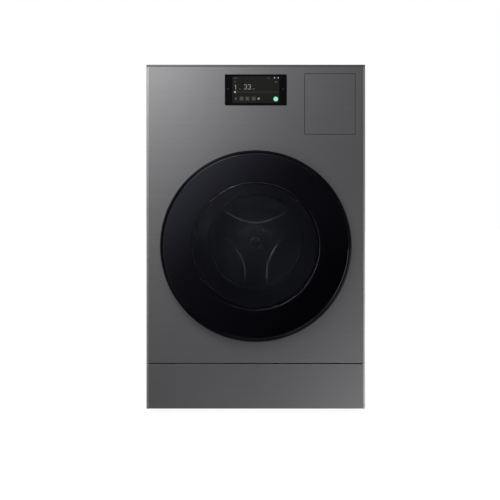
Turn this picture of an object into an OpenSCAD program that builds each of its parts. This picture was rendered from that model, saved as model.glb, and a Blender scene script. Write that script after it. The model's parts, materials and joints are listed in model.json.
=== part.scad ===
// Front-loading washer dryer: cabinet, round door, suspended tub and drum, base heat pump.
// X runs across the front, Y runs from front to back, Z is up, and the floor is z = 0.

/* [Cabinet] */
// Width of the cabinet
cabinet_w = 686; // [680:1:700]
// Height from the floor to the top
total_h = 1091; // [1086:1:1100]
// Depth from the front panel to the rear panel
cabinet_d = 805; // [800:1:815]
// Gap between the floor and the cabinet
foot_gap = 14; // [12:1:16]
// Thickness of the steel sheet
sheet = 1.5; // [1.2:0.1:1.8]
// Height of the top cover
top_cover_h = 7; // [6:1:9]
// Width of the side panels' folded front edges
edge_w = 8; // [7:1:9]
// How far the water fittings stand out of the rear panel
rear_fit = 28; // [24:1:32]

/* [Door] */
// Outer diameter of the door
door_d = 594; // [592:1:600]
// How far the door stands out of the front panel
door_proud = 42; // [40:1:44]
// Gap between the closed door and the front panel
door_gap = 4; // [4:0.5:5]
// Diameter of the window
window_d = 396; // [390:1:398]
// Height of the door and drum axis
axis_z = 524; // [522:1:526]

/* [Drum] */
// Outer diameter of the drum
drum_d = 566; // [560:1:568]
// Length of the drum
drum_len = 540; // [530:1:545]
// Number of lifters
lifter_count = 3; // [3:1:4]

/* [Controls] */
// Width of the display glass
display_w = 194; // [180:1:196]
// Height of the display glass
display_h = 97; // [90:0.5:98]
// Height of the display's centre
display_z = 1012; // [1008:1:1014]
// Width of the drawer front
drawer_w = 157; // [150:1:160]
// Height of the drawer front
drawer_h = 188; // [180:1:190]

/* [Lower flap] */
// Height of the lower flap
flap_h = 140; // [136:1:142]

/* [Hidden] */
$fn = 96;

// Cabinet planes
total_d = cabinet_d + door_proud + rear_fit;
door_y = -total_d / 2;
front_y = door_y + door_proud;
back_y = front_y + cabinet_d;
rear_y = back_y + rear_fit;
half_w = cabinet_w / 2;
cover_z = total_h - top_cover_h;
panel_x = half_w - edge_w - 0.5;
inner_x = half_w - sheet;
flap_top = foot_gap + 0.4 + flap_h;
panel_z = flap_top + 3;
return_d = 15;

// Door
door_r = door_d / 2;
glass_r = door_r - 10;
window_r = window_d / 2;
door_back = front_y - door_gap;
hinge_x = 20 - door_r;
hinge_y = front_y - 26;
hinge_rise = 36;
hinge_pin_r = 3.5;
hinge_pin_h = 54;
mouth_r = 212;
bowl_end_r = 155;
bowl_end_y = front_y + 106;
bowl_rise = 16;
latch_x = 252;
latch_y = front_y - 17;

// Drum and tub
drum_r = drum_d / 2;
drum_sheet = 1;
drum_in = drum_r - drum_sheet - 0.2;
drum_y = front_y + 70;
drum_end = drum_y + drum_len;
tub_in = drum_r + 20;
tub_out = tub_in + 5;
tub_y = front_y + 50;
tub_end = drum_end + 25;
seam_y = front_y + 335;
seam_r = tub_out + 9;
shaft_r = 15;
bearing_r = 31;
arm_angles = [30, 150, 270];

// Controls
drawer_x = 232;
drawer_z = axis_z + 444;
housing_y = front_y + 335;

// Places inside the cabinet
spring_x = half_w - 38;
spring_y = front_y + 415;
brace_z = axis_z + 384;
damper_x = half_w - 63;
damper_y = front_y + 295;
damper_top = axis_z - 179;
sump_x = 120;
sump_y = front_y + 95;
sump_top = 196;
pump_x = 230;
pump_z = 85;
port_x = -150;
port_y = front_y + 145;
port_top = axis_z + 336;
blower_x = -150;
blower_y = front_y + 585;
duct_z = axis_z + 436;
flap_axis_y = front_y + 8.5;
flap_axis_z = foot_gap + 12;
foot_x = 292;
foot_y = [front_y + 105, back_y - 75];
side_screw_z = [for (i = [0:5]) 100 + 186 * i];

// A box given by its lowest and highest corners
module block(lo, hi) {
  translate(lo) cube(hi - lo);
}

// A flat rectangle with round corners, centred
module rounded(w, h, r) {
  square([w - 2 * r, h], center = true);
  square([w, h - 2 * r], center = true);
  for (sx = [-1, 1], sy = [-1, 1])
    translate([sx * (w / 2 - r), sy * (h / 2 - r)]) circle(r);
}

// A profile of [radius, y] points turned about the drum axis
module turned() {
  translate([0, 0, axis_z]) rotate([-90, 0, 0]) rotate_extrude() children();
}

// A plain ring or disc about the drum axis
module ring(r_out, r_in, y0, y1) {
  translate([0, y1, axis_z]) rotate([90, 0, 0]) linear_extrude(y1 - y0)
    difference() {
      circle(r_out);
      if (r_in > 0) circle(r_in);
    }
}

// A flat outline of [x, z] points, from y0 back to y1
module upright(y0, y1) {
  translate([0, y1, 0]) rotate([90, 0, 0]) linear_extrude(y1 - y0) children();
}

// A round bar along Y at x, z
module bar_y(x, z, r, y0, y1) {
  translate([x, y0, z]) rotate([-90, 0, 0]) cylinder(r = r, h = y1 - y0);
}

// A round bar along X at y, z
module bar_x(y, z, r, x0, x1) {
  translate([x0, y, z]) rotate([0, 90, 0]) cylinder(r = r, h = x1 - x0);
}

// A round bar along Z at x, y
module bar_z(x, y, r, z0, z1) {
  translate([x, y, z0]) cylinder(r = r, h = z1 - z0);
}

// Copies on both sides of the cabinet
module both_sides() {
  children();
  mirror([1, 0, 0]) children();
}

// ---------------------------------------------------------------- cabinet shell

module base_pan() {
  x = panel_x - 0.5;
  y0 = front_y + 24;
  y1 = back_y - 5;
  z = foot_gap + 1.6;
  color("dimgray") difference() {
    union() {
      block([-x, y0, z], [x, y1, z + 2.5]);
      difference() {
        block([-x, y0, z], [x, y1, z + 32]);
        block([-x + 2, y0 + 2, z - 1], [x - 2, y1 - 2, z + 33]);
      }
      for (sx = [-1, 1], y = foot_y)
        bar_z(sx * foot_x, y, 16, z, z + 30);
      block([-x, front_y + 470, z], [x, front_y + 472, z + 8]);
    }
    for (sx = [-1, 1], y = foot_y)
      bar_z(sx * foot_x, y, 5.08, z - 1, z + 31);
  }
}

module side_outline() {
  corner = 4;
  difference() {
    union() {
      translate([half_w - edge_w, front_y]) square([edge_w - corner, sheet]);
      translate([half_w - corner, front_y + corner]) circle(corner);
      translate([half_w - sheet, front_y + corner]) square([sheet, cabinet_d - corner - 1.5]);
    }
    translate([half_w - corner, front_y + corner]) circle(corner - sheet);
    translate([half_w - edge_w, front_y + sheet]) square([edge_w - sheet, corner]);
  }
  translate([half_w - edge_w, front_y]) square([sheet, return_d]);
  translate([half_w - 20, back_y - 3]) square([20 - sheet / 2, 1.5]);
}

// The pressed field's outline on the [y, z] plane
module side_field(inset) {
  translate([front_y + cabinet_d / 2, (foot_gap + cover_z) / 2])
    rounded(660 - 2 * inset, 900 - 2 * inset, 45 - inset);
}

module side_panel() {
  press = 3;
  difference() {
    translate([0, 0, foot_gap]) linear_extrude(cover_z - foot_gap) side_outline();
    translate([half_w - 10, 0, 0]) rotate([90, 0, 90]) linear_extrude(20) side_field(0);
    for (z = side_screw_z)
      bar_y(half_w - 11, z, 2.2, back_y - 5, back_y);
  }
  translate([half_w - press - sheet, 0, 0]) rotate([90, 0, 90]) {
    linear_extrude(sheet) side_field(0);
    linear_extrude(press + sheet) difference() {
      side_field(0);
      side_field(sheet);
    }
  }
  block([half_w - 18, front_y + 28, foot_gap], [half_w - 1, back_y - 4, foot_gap + sheet]);
  block([half_w - 18, front_y + 16, cover_z - sheet], [half_w - 1, back_y - 4, cover_z]);
}

module side_panel_left() {
  color("lightslategray") mirror([1, 0, 0]) side_panel();
}

module side_panel_right() {
  color("lightslategray") side_panel();
}

module rear_panel() {
  color("gray") difference() {
    block([-half_w + 0.5, back_y - 1.5, foot_gap], [half_w - 0.5, back_y, cover_z]);
    ring(165, 0, back_y - 5, back_y + 5);
    for (sx = [-1, 1], z = side_screw_z)
      bar_y(sx * (half_w - 11), z, 2.2, back_y - 5, back_y + 5);
    for (a = [0:60:300])
      bar_y(175 * cos(a), axis_z + 175 * sin(a), 2.2, back_y - 5, back_y + 5);
    for (x = [180, 250])
      bar_y(x, cover_z - 84, 15, back_y - 5, back_y + 5);
    bar_y(280, 180, 15, back_y - 5, back_y + 5);
    bar_y(-290, cover_z - 54, 12, back_y - 5, back_y + 5);
  }
}

module rear_service_cover() {
  y = back_y;
  color("darkgray") difference() {
    turned() polygon([
      [0, y + 12.5], [144, y + 12.5], [158, y], [185, y], [185, y + 1.5], [159, y + 1.5],
      [145, y + 14], [0, y + 14]]);
    for (a = [0:60:300])
      bar_y(175 * cos(a), axis_z + 175 * sin(a), 2.2, y - 5, y + 5);
  }
}

module top_cover() {
  y = front_y + cabinet_d / 2;
  color("#2b2d30") translate([0, y, cover_z]) difference() {
    linear_extrude(top_cover_h) rounded(cabinet_w, cabinet_d, 6);
    difference() {
      translate([0, 0, -1]) linear_extrude(top_cover_h - 1)
        rounded(cabinet_w - 6, cabinet_d - 6, 4);
      for (x = [-200:100:200])
        translate([x - 1, -cabinet_d / 2, 1.5]) cube([2, cabinet_d, top_cover_h]);
    }
  }
}

module front_panel() {
  color("#5a5c60") difference() {
    union() {
      block([-panel_x, front_y, panel_z], [panel_x, front_y + sheet, cover_z]);
      ring(mouth_r + 1.5, mouth_r, front_y, front_y + 10);
      difference() {
        block([-panel_x, front_y, panel_z], [panel_x, front_y + return_d, cover_z]);
        block([-panel_x + sheet, front_y - 1, panel_z + sheet],
          [panel_x - sheet, front_y + return_d + 1, cover_z - sheet]);
      }
    }
    ring(mouth_r, 0, front_y - 5, front_y + 5);
    upright(front_y - 5, front_y + 5) translate([0, display_z])
      rounded(display_w - 2, display_h - 2, 3);
    upright(front_y - 5, front_y + 5) translate([drawer_x, drawer_z])
      rounded(drawer_w + 3, drawer_h + 3, 3);
    block([latch_x - 14, front_y - 5, axis_z - 22], [latch_x + 20, front_y + 5, axis_z + 22]);
  }
}

module top_brace() {
  color("silver") difference() {
    block([-half_w + 5, spring_y - 20, brace_z], [half_w - 5, spring_y + 20, brace_z + 26]);
    block([-half_w, spring_y - 18, brace_z + 2], [half_w, spring_y + 18, brace_z + 27]);
  }
}

module service_panel() {
  y = front_y + 12.5;
  color("#2b2d30") difference() {
    union() {
      block([-panel_x + 4, y, 34], [panel_x - 4, y + 2.5, flap_top - 4]);
      block([-panel_x + 4, y, flap_top - 6], [panel_x - 4, y + 14, flap_top - 4]);
      both_sides() {
        bar_x(flap_axis_y, flap_axis_z, 4.7, 322.5, 329);
        block([322.5, flap_axis_y + 1, flap_axis_z - 0.5], [329, y + 2.5, 44]);
      }
    }
    both_sides() bar_x(flap_axis_y, flap_axis_z, 3.05, 300, 335);
    block([-270, y - 5, 50], [-70, y + 5, 130]);
    bar_y(pump_x, pump_z, 37, y - 5, y + 5);
  }
}

module lower_flap() {
  x = panel_x + 0.2;
  z = foot_gap + 0.4;
  color("#5a5c60") difference() {
    union() {
      block([-x, front_y, z], [x, front_y + 3.5, flap_top]);
      both_sides() {
        block([314, front_y + 3, flap_axis_z - 5], [320, flap_axis_y + 4, flap_axis_z + 5]);
        bar_x(flap_axis_y, flap_axis_z, 3, 314, 330);
      }
    }
    block([-8, front_y - 1, flap_top - 9], [8, front_y + 1.5, flap_top - 6.5]);
  }
}

module panel_screw() {
  bar_y(0, 0, 2, back_y - 5, back_y + 2);
  bar_y(0, 0, 4.4, back_y, back_y + 2.4);
}

module panel_screws() {
  color("silver") {
    for (sx = [-1, 1], z = side_screw_z)
      translate([sx * (half_w - 11), 0, z]) panel_screw();
    for (a = [0:60:300])
      translate([175 * cos(a), 1.6, axis_z + 175 * sin(a)]) panel_screw();
  }
}

// ---------------------------------------------------------------- controls

module display_glass() {
  color("black") upright(front_y - 1.4, front_y - 0.05) translate([0, display_z])
    rounded(display_w, display_h, 4);
}

module display_housing() {
  color("#303030") translate([0, 0, display_z]) difference() {
    upright(front_y + 0.3, front_y + 44) rounded(display_w - 4, display_h - 4, 3);
    upright(front_y + 3, front_y + 45) rounded(display_w - 9, display_h - 9, 2);
  }
}

module control_board() {
  y = front_y + 24;
  color("darkgreen") translate([0, 0, display_z]) {
    block([-86, y, -38], [86, y + 1.6, 38]);
    for (x = [-60, -20, 25, 60])
      block([x - 9, y + 1.5, -12], [x + 9, y + 4, 8]);
    block([-70, y + 1.5, 22], [70, y + 10, 30]);
    both_sides() block([84, y, -6], [91.4, y + 1.6, 6]);
  }
}

module drawer_housing() {
  x = drawer_w / 2 + 0.5;
  z = drawer_h / 2 + 0.5;
  wall = 2.5;
  color("whitesmoke") translate([drawer_x, 0, drawer_z]) difference() {
    union() {
      block([-x - wall, front_y + 1.7, -z - wall], [x + wall, housing_y, z + wall]);
      bar_z(0, housing_y - 60, 20, -z - 22, -z);
    }
    block([-x, front_y, -z], [x, housing_y - wall, z]);
    bar_z(0, housing_y - 60, 17, -z - 23, -z + 1);
  }
}

module drawer_front() {
  color("#5a5c60") translate([drawer_x, 0, drawer_z]) difference() {
    upright(front_y, front_y + 18) rounded(drawer_w, drawer_h, 2.5);
    upright(front_y + 3, front_y + 19) rounded(drawer_w - 6, drawer_h - 6, 1.5);
    upright(front_y - 1, front_y + 2) translate([drawer_w / 2 - 8, 0]) rounded(4.5, 18, 2);
  }
}

module drawer_body() {
  x = drawer_w / 2 - 2.5;
  z0 = -drawer_h / 2 + 6;
  z1 = drawer_h / 2 - 22;
  y0 = front_y + 18.2;
  y1 = housing_y - 30;
  color("white") translate([drawer_x, 0, drawer_z]) difference() {
    block([-x, y0, z0], [x, y1, z1]);
    block([-x + 2.5, y0 + 2.5, z0 + 2.5], [-1.2, y1 - 2.5, z1 + 1]);
    block([1.2, y0 + 2.5, z0 + 2.5], [x - 2.5, y1 - 2.5, z1 + 1]);
  }
}

module siphon_insert() {
  z0 = drawer_z - drawer_h / 2 + 8.8;
  x = drawer_x + 38;
  y = housing_y - 80;
  color("steelblue") difference() {
    union() {
      bar_z(x, y, 9, z0, z0 + 130);
      bar_z(x, y, 20, z0 + 130, z0 + 133);
    }
    bar_z(x, y, 7, z0 - 1, z0 + 128);
  }
}

// ---------------------------------------------------------------- water and power

module valve() {
  bar_y(0, 0, 14.8, back_y - 30, back_y);
  bar_y(0, 0, 18, back_y + 0.1, back_y + 2.5);
  difference() {
    bar_y(0, 0, 13.2, back_y - 1, rear_y);
    bar_y(0, 0, 9, back_y + 5, rear_y + 1);
  }
  block([-16, back_y - 60, -16], [16, back_y - 28, 16]);
  bar_z(0, back_y - 44, 12, -50, -15);
}

module inlet_valves() {
  color("whitesmoke") for (x = [180, 250])
    translate([x, 0, cover_z - 84]) valve();
}

module drain_outlet() {
  color("gray") translate([280, 0, 180]) difference() {
    union() {
      bar_y(0, 0, 14.8, back_y - 30, back_y);
      bar_y(0, 0, 20, back_y + 0.1, back_y + 3);
      bar_y(0, 0, 10.5, back_y - 1, rear_y);
    }
    bar_y(0, 0, 8, back_y - 31, rear_y + 1);
  }
}

module power_gland() {
  color("black") translate([-290, 0, cover_z - 54]) difference() {
    union() {
      bar_y(0, 0, 11.8, back_y - 8, back_y + 1);
      bar_y(0, 0, 16, back_y + 0.1, back_y + 4);
      bar_y(0, 0, 9, back_y + 1, back_y + 14);
    }
    bar_y(0, 0, 4.5, back_y - 9, back_y + 15);
  }
}

module drain_pump() {
  color("dimgray") difference() {
    union() {
      bar_y(pump_x, pump_z, 36.5, front_y + 17.5, front_y + 106);
      bar_y(pump_x, pump_z, 45, front_y + 105, front_y + 134);
      bar_y(pump_x, pump_z, 30, front_y + 133, front_y + 186);
      bar_x(sump_y, pump_z, 24, sump_x, pump_x - 10);
      bar_z(sump_x, sump_y, 24, pump_z, 116);
      translate([sump_x, sump_y, pump_z]) sphere(24);
      block([pump_x - 20, front_y + 110, foot_gap + 4.3], [pump_x + 20, front_y + 130, 60]);
    }
    bar_y(pump_x, pump_z, 34, front_y + 17, front_y + 103);
    bar_x(sump_y, pump_z, 20, sump_x, pump_x - 10);
    bar_z(sump_x, sump_y, 20, pump_z, 117);
  }
}

module sump_bellows() {
  folds = 5;
  z0 = 116.3;
  pitch = (sump_top - 0.3 - z0) / folds;
  color("black") translate([sump_x, sump_y, z0]) rotate_extrude() polygon(concat(
    [for (i = [0:folds]) each [[i % 2 == 0 ? 25 : 31, i * pitch]]],
    [for (i = [folds:-1:0]) each [[i % 2 == 0 ? 22 : 28, i * pitch]]]));
}

module drain_filter_cap() {
  y = front_y + 11;
  color("steelblue") {
    difference() {
      bar_y(pump_x, pump_z, 35, y, y + 5.6);
      for (a = [0:20:340])
        bar_y(pump_x + 36.5 * cos(a), pump_z + 36.5 * sin(a), 2.5, y - 1, y + 7);
    }
    bar_y(pump_x, pump_z, 33.95, y + 5.5, y + 26);
    block([pump_x - 28, y - 5, pump_z - 4], [pump_x + 28, y + 1, pump_z + 4]);
    difference() {
      bar_y(pump_x, pump_z, 30, y + 25, y + 80);
      bar_y(pump_x, pump_z, 27, y + 26, y + 81);
      for (a = [0:45:135])
        translate([pump_x, 0, pump_z]) rotate([0, a, 0])
          block([-40, y + 34, -4], [40, y + 70, 4]);
    }
  }
}

// ---------------------------------------------------------------- drying circuit

case_x = [-258, -62];
case_y = [front_y + 98, front_y + 458];
case_top = 150;

module heat_pump_case() {
  z = foot_gap + 4.2;
  color("#404347") difference() {
    block([case_x[0], case_y[0], z], [case_x[1], case_y[1], case_top]);
    block([case_x[0] + 3, case_y[0] + 3, z + 3], [case_x[1] - 3, case_y[1] - 3, case_top - 3]);
    block([case_x[0] + 8, case_y[0] - 1, 54], [case_x[1] - 8, case_y[0] + 4, 126]);
    block([case_x[0] + 40, case_y[1] - 4, 50], [case_x[1] - 40, case_y[1] + 1, 120]);
  }
}

module exchanger(y0, y1) {
  fins = 16;
  x0 = case_x[0] + 5;
  pitch = (case_x[1] - case_x[0] - 12) / (fins - 1);
  for (i = [0:fins - 1])
    translate([x0 + i * pitch, y0, 23]) cube([1.5, y1 - y0, 120]);
  for (y = [y0 + 20, y1 - 20], z = [45, 83, 121])
    bar_x(y, z, 5, x0, case_x[1] - 5.5);
}

module heat_exchangers() {
  color("silver") {
    exchanger(case_y[0] + 20, case_y[0] + 130);
    exchanger(case_y[0] + 170, case_y[0] + 330);
  }
}

module compressor() {
  color("#202225") translate([150, front_y + 645, foot_gap + 4.3]) {
    rotate_extrude() polygon([
      [0, 12], [52, 12], [60, 22], [62, 30], [62, 130], [58, 145], [44, 156], [20, 161],
      [0, 162]]);
    for (a = [90, 210, 330])
      rotate([0, 0, a]) {
        translate([40, -10, 8]) cube([45, 20, 5]);
        translate([75, 0, 0]) cylinder(r = 9, h = 9);
      }
    translate([30, 0, 150]) cylinder(r = 6, h = 28);
    translate([-66, 0, 30]) cylinder(r = 18, h = 90);
  }
}

module blower_outline(inset) {
  circle(95 - inset);
  translate([-95 + inset, 0]) square([80 - 2 * inset, 103]);
}

module blower_housing() {
  z0 = foot_gap + 4.2;
  z1 = 135;
  color("#404347") translate([blower_x, blower_y, 0]) {
    difference() {
      translate([0, 0, z0]) linear_extrude(z1 - z0) blower_outline(0);
      translate([0, 0, z0 + 22]) linear_extrude(z1 - z0 - 25) blower_outline(3);
      translate([-92, 95, z0 + 22]) cube([74, 20, z1 - z0 - 25]);
      block([-50, -130, 50], [50, -60, 120]);
    }
    bar_z(0, 0, 4, z0 + 1, 100);
  }
}

module blower_impeller() {
  z0 = foot_gap + 30;
  z1 = 126;
  color("lightgray") translate([blower_x, blower_y, 0]) difference() {
    union() {
      bar_z(0, 0, 82, z0, z0 + 3);
      bar_z(0, 0, 16, z0, z0 + 40);
      difference() {
        bar_z(0, 0, 82, z1 - 3, z1);
        bar_z(0, 0, 62, z1 - 4, z1 + 1);
      }
      for (a = [0:20:340])
        rotate([0, 0, a]) translate([64, 0, z0 + 1]) rotate([0, 0, 35])
          cube([16, 2, z1 - z0 - 2]);
    }
    bar_z(0, 0, 4.05, z0 - 1, z1);
  }
}

module duct_path(inset) {
  x0 = -half_w + 8;
  y1 = back_y - 12;
  i = inset;
  block([x0 + i, blower_y + 103.5 + i, 52 + i], [-165 - i, y1 - i, 135 - i]);
  block([x0 + i, y1 - 90 + i, 52 + i], [x0 + 90 - i, y1 - i, duct_z + 90 - i]);
  block([x0 + i, port_y - 55 + i, duct_z + i], [x0 + 90 - i, y1 - i, duct_z + 90 - i]);
  block([x0 + i, port_y - 55 + i, duct_z + i], [port_x + 55 - i, port_y + 55 - i, duct_z + 90 - i]);
}

module air_duct() {
  color("gainsboro") difference() {
    union() {
      duct_path(0);
      bar_z(port_x, port_y, 53, port_top - 22, duct_z + 10);
    }
    duct_path(2.5);
    bar_z(port_x, port_y, 50, port_top - 23, duct_z + 20);
    block([-242, blower_y + 100, 56], [-171, blower_y + 110, 130]);
  }
}

module lint_filter() {
  y = front_y + 11.5;
  color("steelblue") {
    difference() {
      block([-268, y, 52], [-72, y + 5, 128]);
      block([-215, y - 1, 66], [-125, y + 3, 80]);
    }
    block([-215, y - 5, 80], [-125, y + 1, 88]);
    difference() {
      block([-246, y + 4, 57], [-74, y + 84, 123]);
      block([-243, y + 5, 60], [-77, y + 85, 120]);
    }
    block([-245, y + 60, 58], [-75, y + 61.5, 122]);
  }
}

// ---------------------------------------------------------------- door

module hinge_arm_outline() {
  translate([hinge_x, hinge_y]) {
    circle(7);
    intersection() {
      rotate(60) translate([0, -5]) square([40, 10]);
      translate([-20, -20]) square([80, 20 + front_y - hinge_y]);
    }
  }
}

module door_hinge_bracket() {
  y0 = front_y - 1.9;
  color("silver") difference() {
    union() {
      for (s = [-1, 1]) {
        translate([0, 0, axis_z + s * hinge_rise - 8]) linear_extrude(16) hinge_arm_outline();
        translate([0, 0, axis_z + s * hinge_rise])
          block([hinge_x - 9, y0, -10], [-236, front_y, 10]);
      }
      block([-258, y0, axis_z - hinge_rise], [-236, front_y, axis_z + hinge_rise]);
    }
    bar_z(hinge_x, hinge_y, hinge_pin_r, axis_z - 80, axis_z + 80);
  }
}

module door_hinge_pin() {
  color("lightgray")
    bar_z(hinge_x, hinge_y, hinge_pin_r, axis_z - hinge_pin_h, axis_z + hinge_pin_h);
}

// The space that the hinge arms sweep in the door as it opens
module arm_sweep() {
  for (s = [-1, 1])
    translate([hinge_x, hinge_y, axis_z + s * hinge_rise - 9]) linear_extrude(18) {
      circle(9);
      translate([-70, -6.5]) square([70, 13]);
      rotate(60) translate([0, -6.5]) square([70, 13]);
      polygon([[0, 0], [40, 69], [0, 80], [-40, 69], [-70, 0]]);
    }
}

module door_ring() {
  y = door_y;
  r = door_r;
  color("#151518") difference() {
    turned() polygon([
      [r - 19, y + 4.3], [r - 9.6, y + 4.3], [r - 9.6, y + 0.9], [r - 7, y + 0.2],
      [r - 3, y + 0.2], [r - 0.8, y + 1.5], [r, y + 4], [r, y + 22.5], [r - 9, y + 28.3],
      [r - 9, y + 7.5], [r - 19, y + 7.5]]);
    arm_sweep();
  }
}

module door_glass() {
  y = door_y;
  color("#101216") turned() polygon([
    [0, y], [glass_r - 1.5, y], [glass_r, y + 1.5], [glass_r, y + 4], [0, y + 4]]);
}

module door_rear_frame() {
  r0 = window_r + 1;
  r1 = door_r - 9.3;
  y0 = door_y + 7.7;
  y1 = door_back;
  boss_h = hinge_pin_h + 4;
  color("#202226") difference() {
    union() {
      difference() {
        turned() polygon([[r0, y0], [r1, y0], [r1, y1 - 9.5], [r1 - 15, y1], [r0, y1]]);
        turned() polygon([
          [r0 + 4, y0 - 1], [r1 - 4, y0 - 1], [r1 - 4, y1 - 11.5], [r1 - 17, y1 - 4],
          [r0 + 4, y1 - 4]]);
      }
      intersection() {
        block([hinge_x - 13, y0, axis_z - boss_h], [hinge_x + 12, y1 - 3, axis_z + boss_h]);
        ring(r1 - 0.5, r0, y0, y1);
      }
      for (z = [axis_z - 22, axis_z + 17])
        block([latch_x - 7, latch_y - 7, z], [latch_x + 7, y1 - 3, z + 5]);
    }
    arm_sweep();
    bar_z(hinge_x, hinge_y, hinge_pin_r + 0.05, axis_z - hinge_pin_h - 0.4,
      axis_z + hinge_pin_h + 0.4);
    block([latch_x - 12, y1 - 10, axis_z - 17], [latch_x + 16, y1 + 1, axis_z + 17]);
    bar_z(latch_x, latch_y, 3.05, axis_z - 18.2, axis_z + 18.2);
  }
}

module bowl_form(inset) {
  hull() {
    ring(window_r - 0.3 - inset, 0, door_back - 3, door_back - 2);
    translate([0, 0, bowl_rise])
      ring(bowl_end_r - inset - 8, 0, bowl_end_y - inset - 1, bowl_end_y - inset);
    translate([0, 0, bowl_rise])
      ring(bowl_end_r - inset, 0, bowl_end_y - inset - 9, bowl_end_y - inset - 8);
  }
}

module door_bowl() {
  color("lightblue") {
    difference() {
      bowl_form(0);
      bowl_form(4.5);
      ring(window_r - 4.8, 0, door_back - 5, door_back - 1.9);
    }
    ring(window_r - 0.3, window_r - 4.8, door_y + 9, door_back - 2.5);
  }
}

module door_latch_hook() {
  z0 = axis_z - 12;
  z1 = axis_z + 12;
  color("silver") {
    bar_z(latch_x, latch_y, 3, axis_z - 18, axis_z + 18);
    bar_z(latch_x, latch_y, 6, z0, z1);
    block([latch_x - 4, latch_y, z0], [latch_x + 4, front_y + 20, z1]);
    block([latch_x + 3, front_y + 12, z0], [latch_x + 12, front_y + 20, z1]);
  }
}

module door_lock() {
  y0 = front_y + 1.7;
  color("whitesmoke") difference() {
    block([latch_x - 18, y0, axis_z - 42], [latch_x + 40, y0 + 36, axis_z + 42]);
    block([latch_x - 13, y0 - 1, axis_z - 20], [latch_x + 19, y0 + 26, axis_z + 20]);
  }
}

module door_gasket() {
  y = front_y;
  r = mouth_r;
  color("#3a3a3c") turned() polygon([
    [r - 6, y + 3], [r - 0.2, y + 3], [r - 0.2, y + 11], [r + 22, y + 16.5], [r + 22, y + 28],
    [r + 2, y + 33], [r + 0.5, y + 33], [r + 0.5, y + 56], [r - 6, y + 62], [r - 8, y + 60],
    [r - 3, y + 55], [r - 3, y + 30], [r + 18, y + 25], [r + 18, y + 19.5], [r - 6, y + 14]]);
}

// ---------------------------------------------------------------- wash unit

module tub_front() {
  y = tub_y;
  color("gainsboro") difference() {
    union() {
      turned() polygon([
        [mouth_r + 1, y - 14], [mouth_r + 5, y - 14], [mouth_r + 5, y], [tub_out - 8, y],
        [tub_out, y + 8], [tub_out, seam_y - 6], [seam_r, seam_y - 6], [seam_r, seam_y],
        [tub_in, seam_y], [tub_in, y + 10], [tub_in - 5, y + 5], [mouth_r + 1, y + 5]]);
      for (dy = [95, 185])
        ring(tub_out + 5, tub_in + 1, y + dy, y + dy + 5);
      bar_z(sump_x, sump_y, 26, sump_top, 260);
      bar_z(port_x, port_y, 36, 760, port_top);
      both_sides() block([damper_x - 14, damper_y - 12, damper_top],
        [damper_x + 12, damper_y + 12, damper_top + 75]);
    }
    ring(tub_in, 0, y + 10, seam_y + 1);
    bar_z(sump_x, sump_y, 21, sump_top - 1, 300);
    bar_z(port_x, port_y, 32, 700, port_top + 1);
    for (a = [0:22.5:337.5])
      bar_y(312.6 * cos(a), axis_z + 312.6 * sin(a), 2.6, seam_y - 10, seam_y + 1);
  }
}

module tub_rear() {
  y1 = tub_end;
  color("gainsboro") difference() {
    union() {
      turned() polygon([
        [tub_in, seam_y + 0.1], [seam_r, seam_y + 0.1], [seam_r, seam_y + 6],
        [tub_out, seam_y + 6], [tub_out, y1], [60, y1], [60, y1 + 44], [bearing_r, y1 + 44],
        [bearing_r, y1 - 6], [tub_in - 6, y1 - 6], [tub_in, y1 - 12]]);
      ring(tub_out + 5, tub_in + 1, seam_y + 130, seam_y + 135);
      for (a = [15:30:345])
        translate([0, y1 - 1, axis_z]) rotate([0, a, 0])
          translate([57, 0, -2.5]) cube([tub_in - 60, 17, 5]);
      both_sides() block([spring_x - 20, spring_y - 12, axis_z + 70],
        [spring_x + 12, spring_y + 12, axis_z + 141]);
    }
    ring(tub_in, 0, seam_y, y1 - 12);
    for (a = [0:22.5:337.5])
      bar_y(312.6 * cos(a), axis_z + 312.6 * sin(a), 2.6, seam_y - 1, seam_y + 10);
  }
}

module weight_arc(start) {
  translate([0, 0, axis_z]) rotate([-90, 0, 0]) rotate_extrude(angle = 100, start = start)
    polygon([[241, tub_y - 37], [298, tub_y - 37], [298, tub_y - 0.3], [241, tub_y - 0.3]]);
}

module counterweights() {
  color("gray") {
    weight_arc(40);
    weight_arc(220);
    difference() {
      block([-150, tub_y + 155, 780], [75, tub_y + 535, axis_z + 364]);
      ring(seam_r + 0.2, 0, tub_y, tub_end);
    }
  }
}

module motor_stator() {
  y0 = tub_end + 18;
  color("peru") difference() {
    union() {
      ring(92, 60.2, y0, y0 + 30);
      for (a = [0:15:345])
        translate([0, y0 + 2, axis_z]) rotate([0, a, 0])
          translate([88, 0, -5]) cube([24, 26, 10]);
    }
  }
}

module motor_rotor() {
  y = tub_end + 18;
  color("#404347") turned() polygon([
    [shaft_r, y + 31], [32, y + 31], [36, y + 42], [116, y + 42], [116, y], [124, y],
    [124, y + 46], [32, y + 46], [32, y + 52], [shaft_r, y + 52]]);
}

module drum_bearings() {
  color("silver") for (y = [tub_end - 2, tub_end + 26])
    ring(bearing_r, shaft_r + 0.05, y, y + 16);
}

module tub_screws() {
  color("silver") for (a = [0:22.5:337.5])
    translate([312.6 * cos(a), 0, axis_z + 312.6 * sin(a)]) {
      bar_y(0, 0, 2.5, seam_y - 7, seam_y + 8);
      bar_y(0, 0, 4.3, seam_y - 9.5, seam_y - 6.1);
    }
}

module drum_shell() {
  color("silver") turned() polygon([
    [drum_r - drum_sheet, drum_y + 1.6], [drum_r, drum_y + 1.6], [drum_r, drum_end],
    [drum_r - drum_sheet, drum_end]]);
}

// The three dished fields between the arms of the rear wall
module lobes(inset) {
  intersection() {
    circle(176 - inset);
    for (a = arm_angles)
      translate([250 * cos(a + 60), 250 * sin(a + 60)]) circle(180 - inset);
  }
}

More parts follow.
